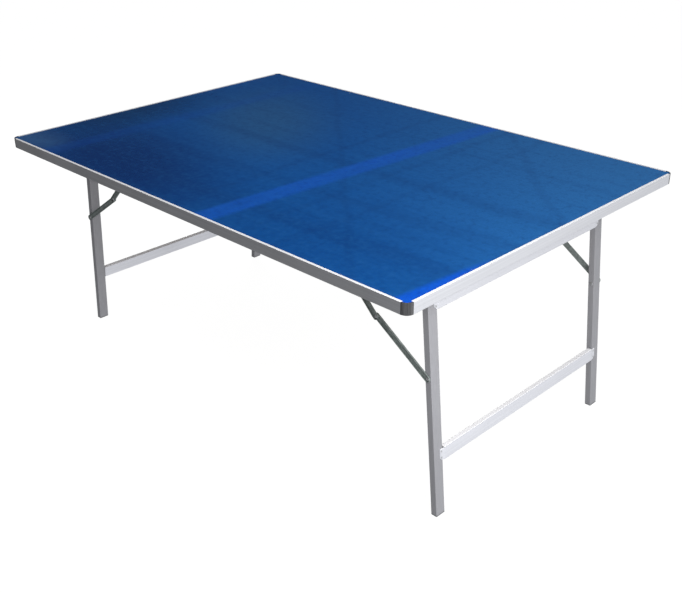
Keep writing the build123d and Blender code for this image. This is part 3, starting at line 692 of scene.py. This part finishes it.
# The stays' lower pins, right through the legs, with a washer between the arm and the leg.
washer_near, washer_far = 3.7, 4.4
leg_grip, leg_pin_length = 39.4, 41.0
leg_pin = turned(upset_head + [
    (pin_radius, head_height), (pin_radius, washer_near),
    (washer_radius, washer_near), (washer_radius, washer_far),
    (pin_radius, washer_far), (pin_radius, leg_grip),
    (head_radius, leg_grip), (head_radius, 40.2), (4.7, 40.9),
    (3.0, leg_pin_length), (0, leg_pin_length),
])

# The blind rivets, with a domed flange outside and a bulb inside the tube.
rivet_shank, rivet_flange, rivet_bulb = 1.6, 3.2, 2.4
flange_height, bulb_start = 1.2, 4.3
rivet = turned([
    (0, 0.9), (0.75, 0.9), (0.8, 0.15), (1.1, 0), (1.9, 0.15), (2.7, 0.55), (3.1, 1.0),
    (rivet_flange, flange_height), (rivet_shank, flange_height),
    (rivet_shank, bulb_start), (rivet_bulb, bulb_start), (rivet_bulb, 5.2), (1.9, 5.7), (0, 5.8),
])
leg_splay = math.radians(5.226)


def into_leg(point):
    return Vector((-math.copysign(math.cos(leg_splay), point.x), 0, -math.sin(leg_splay)))


for side in ("right", "left"):
    fasten(f"{side}_leg_pins", f"{side}_stay_pivots", leg_pin, toward_middle)
    fasten(f"{side}_blind_rivets", f"{side}_tab_rivets", rivet, into_leg)

# ---------------------------------------------------------------------------------------------
# Hinge bolts and nuts.  M6 hexagon bolts through each pair of lugs, with chamfered heads, rolled
# thread at the tip and a plain nut on the inner side.
hex_corner = 5.7
hex_bevel = 5.0
bolt_head_height = 4.0
thread_start, thread_end, thread_pitch, thread_depth = 40.0, 50.0, 1.0, 0.35
thread = []
for turn_number in range(int((thread_end - thread_start) / thread_pitch)):
    thread.append((pin_radius, thread_start + turn_number * thread_pitch))
    thread.append((pin_radius - thread_depth, thread_start + (turn_number + 0.5) * thread_pitch))
bolt_head = [
    (0, 0.25), (3.2, 0.25), (3.4, 0), (4.6, 0), (hex_bevel, 0.15), (hex_corner, 0.55),
    (hex_corner, bolt_head_height), (pin_radius, bolt_head_height),
]
bolt_length = 50.8
bolt_tip = [(pin_radius, thread_end), (2.4, bolt_length), (0, bolt_length)]
bolt = turned(bolt_head + thread + bolt_tip, flats=6)
fasten("hinge_bolts_m6", "hinge_bolts", bolt, toward_middle)
nut_profile = [
    (pin_radius, 0.2), (3.3, 0), (4.6, 0), (hex_bevel, 0.15), (hex_corner, 0.55),
    (hex_corner, 4.45), (hex_bevel, 4.85), (4.6, 5.0), (3.3, 5.0), (pin_radius, 4.8),
]
nut = turned(nut_profile, flats=6, hollow=True)
fasten("hinge_nuts_m6", "hinge_nuts", nut, toward_middle)

# ---------------------------------------------------------------------------------------------
# Wood screws under the table.  Pan heads with a cross recess, driven up into the board through
# the rails' shelves, the bearers, the lugs and the brackets.
def pan_screw(length):
    # Points and faces of a screw whose head stands on a plain shank with a cone point.
    shank, under_head = 1.8, 1.8
    points, faces = turned([
        (0, 0), (1.4, 0.05), (2.4, 0.25), (3.1, 0.65), (3.5, 1.2), (3.6, 1.5),
        (3.6, under_head), (shank, under_head), (shank, length - 0.7), (0, length + 1.8),
    ])
    blank_mesh = bpy.data.meshes.new("screw_blank")
    blank_mesh.from_pydata(points, [], faces)
    blank = bpy.data.objects.new("screw_blank", blank_mesh)

    # The punch is two crossed blades that narrow toward the bottom of the recess.
    blade_half, blade_thin = 1.9, 0.42
    punch_top, punch_bottom, bottom_taper = -0.5, 1.15, 0.72
    punch_mesh = bpy.data.meshes.new("cross_punch")
    punch_points, punch_faces = [], []
    for half_x, half_y in ((blade_half, blade_thin), (blade_thin, blade_half)):
        base = len(punch_points)
        for height, taper in ((punch_top, 1.0), (punch_bottom, bottom_taper)):
            for x, y in ((-1, -1), (1, -1), (1, 1), (-1, 1)):
                corner_point = Vector((x * half_x * taper, y * half_y * taper, height))
                punch_points.append(corner_point * millimetre)
        punch_faces += [[base + n for n in face] for face in (
            (3, 2, 1, 0), (4, 5, 6, 7), (0, 1, 5, 4), (1, 2, 6, 5), (2, 3, 7, 6), (3, 0, 4, 7),
        )]
    punch_mesh.from_pydata(punch_points, [], punch_faces)
    punch = bpy.data.objects.new("cross_punch", punch_mesh)
    for helper in (blank, punch):
        bpy.context.scene.collection.objects.link(helper)
    strike = blank.modifiers.new("strike", "BOOLEAN")
    strike.operation = "DIFFERENCE"
    strike.solver = "EXACT"
    strike.use_self = True
    strike.object = punch
    graph = bpy.context.evaluated_depsgraph_get()
    struck = bpy.data.meshes.new_from_object(blank.evaluated_get(graph))
    struck_points = [vertex.co.copy() for vertex in struck.vertices]
    struck_faces = [list(face.vertices) for face in struck.polygons]
    for helper in (blank, punch):
        bpy.data.objects.remove(helper)
    return struck_points, struck_faces


def upward(point):
    return Vector((0, 0, 1))


board_screw_length, lug_screw_length = 10.0, 15.0
fasten("board_pan_screws", "board_screws", pan_screw(board_screw_length), upward)
fasten("lug_pan_screws", "hinge_screws", pan_screw(lug_screw_length), upward)

# ---------------------------------------------------------------------------------------------
# Under the board.  Zinc plated sheet: the hat section across the middle, the flat bearers that
# carry the hinges, the hinge lugs and the stay brackets.
sheet_finish, sheet_shader, sheet_place = start_finish("bearer_zinc", (0.5, 0.51, 0.52), 0.45, 0.7)
spangle = add_node(sheet_finish, "ShaderNodeTexVoronoi")
crystals_per_metre = 90.0
spangle.inputs["Scale"].default_value = crystals_per_metre
join(sheet_finish, sheet_place, spangle.inputs["Vector"])
crystal = add_node(sheet_finish, "ShaderNodeSeparateColor")
join(sheet_finish, spangle.outputs["Color"], crystal.inputs["Color"])
sheet_colour = tint(
    sheet_finish,
    remap(sheet_finish, crystal.outputs["Red"], 0.0, 1.0, 0.0, 1.0),
    (0.45, 0.46, 0.47),
    (0.58, 0.59, 0.61),
)
join(sheet_finish, sheet_colour, sheet_shader.inputs["Base Color"])
under_parts = ["center_bearer", "right_hinge_bearer", "left_hinge_bearer"]
for corner in corners:
    under_parts += [f"{corner}_hinge_lugs", f"{corner}_stay_bracket"]
for part in under_parts:
    nodes[part].data.materials[0] = sheet_finish

# ---------------------------------------------------------------------------------------------
# Leg plugs.  Moulded grey plastic, pushed into the tubes' ends: one in each foot, and one in
# the top end of each leg, under the board.
plug_finish, plug_shader, plug_place = start_finish("plug_plastic", (0.16, 0.16, 0.17), 0.5)
scuffs = grain(plug_finish, plug_place, 120.0, 4.0)
plug_colour = tint(
    plug_finish,
    remap(plug_finish, scuffs, 0.45, 0.75, 0.0, 1.0),
    (0.14, 0.14, 0.15),
    (0.26, 0.26, 0.27),
)
join(plug_finish, plug_colour, plug_shader.inputs["Base Color"])
plugs = [f"{corner}_foot_plug" for corner in corners] + ["right_top_plugs", "left_top_plugs"]
for plug in plugs:
    nodes[plug].data.materials[0] = plug_finish
